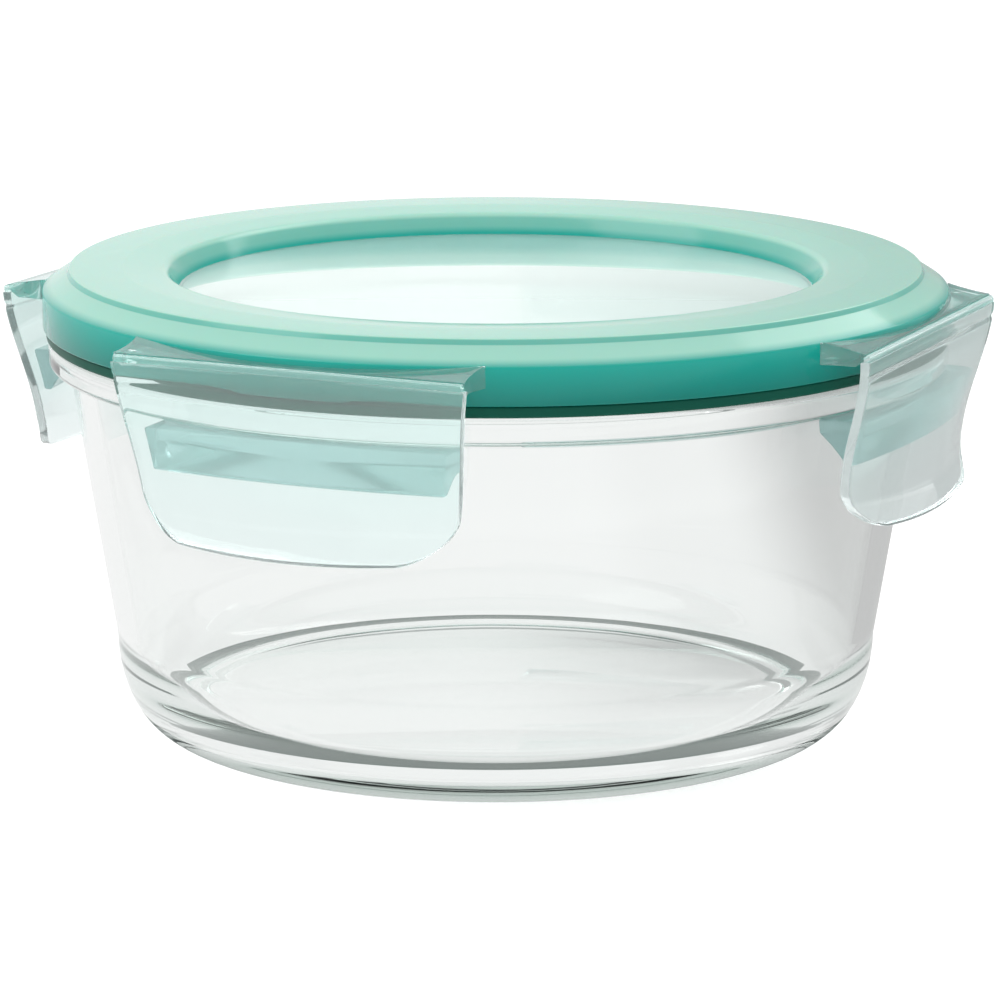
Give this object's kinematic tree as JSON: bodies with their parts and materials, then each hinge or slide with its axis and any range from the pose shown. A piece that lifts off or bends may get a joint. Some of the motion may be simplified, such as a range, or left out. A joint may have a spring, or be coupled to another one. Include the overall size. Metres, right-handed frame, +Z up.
{
  "type": "snap lid food container",
  "caption": "Round glass food container with a clear and teal lid, a silicone seal and hinged snap latches that hook under the glass rim.",
  "frame": {"origin": "centre of the bowl's foot on the table", "axes": "+Z up along the bowl's axis, -Y towards the front latch, +X towards the right latch"},
  "size_m": [0.1712, 0.1712, 0.0849],
  "materials": {
    "glass": "clear pressed glass, fire polished",
    "clear_plastic": "clear moulded plastic, gloss",
    "teal_plastic": "translucent teal moulded plastic, satin gloss",
    "silicone": "smooth silicone rubber"
  },
  "bodies": {
    "bowl": {"glass_bowl": "glass"},
    "lid": {"lid_panel": "clear_plastic", "lid_ring": "teal_plastic", "seal_gasket": "silicone", "latch_mount_front": "clear_plastic", "latch_mount_right": "clear_plastic", "latch_mount_back": "clear_plastic", "latch_mount_left": "clear_plastic", "hinge_web_front": "clear_plastic", "hinge_web_right": "clear_plastic", "hinge_web_back": "clear_plastic", "hinge_web_left": "clear_plastic"},
    "latch_front": {"latch_flap_front": "clear_plastic", "latch_catch_front": "clear_plastic"},
    "latch_right": {"latch_flap_right": "clear_plastic", "latch_catch_right": "clear_plastic"},
    "latch_back": {"latch_flap_back": "clear_plastic", "latch_catch_back": "clear_plastic"},
    "latch_left": {"latch_flap_left": "clear_plastic", "latch_catch_left": "clear_plastic"}
  },
  "joints": [
    {"name": "lid_lift", "type": "slide", "parent": "bowl", "child": "lid", "axis": [0, 0, 1], "range_m": [0, 0.06], "deforming": ["latch_catch_front", "latch_catch_right", "latch_catch_back", "latch_catch_left"]},
    {"name": "latch_front_fold", "type": "hinge", "parent": "lid", "child": "latch_front", "pos_m": [0, -0.084, 0.079], "axis": [-1, 0, 0], "range_deg": [0, 135], "deforming": ["hinge_web_front"]},
    {"name": "latch_right_fold", "type": "hinge", "parent": "lid", "child": "latch_right", "pos_m": [0.084, 0, 0.079], "axis": [0, -1, 0], "range_deg": [0, 135], "deforming": ["hinge_web_right"]},
    {"name": "latch_back_fold", "type": "hinge", "parent": "lid", "child": "latch_back", "pos_m": [0, 0.084, 0.079], "axis": [1, 0, 0], "range_deg": [0, 135], "deforming": ["hinge_web_back"]},
    {"name": "latch_left_fold", "type": "hinge", "parent": "lid", "child": "latch_left", "pos_m": [-0.084, 0, 0.079], "axis": [0, 1, 0], "range_deg": [0, 135], "deforming": ["hinge_web_left"]}
  ]
}
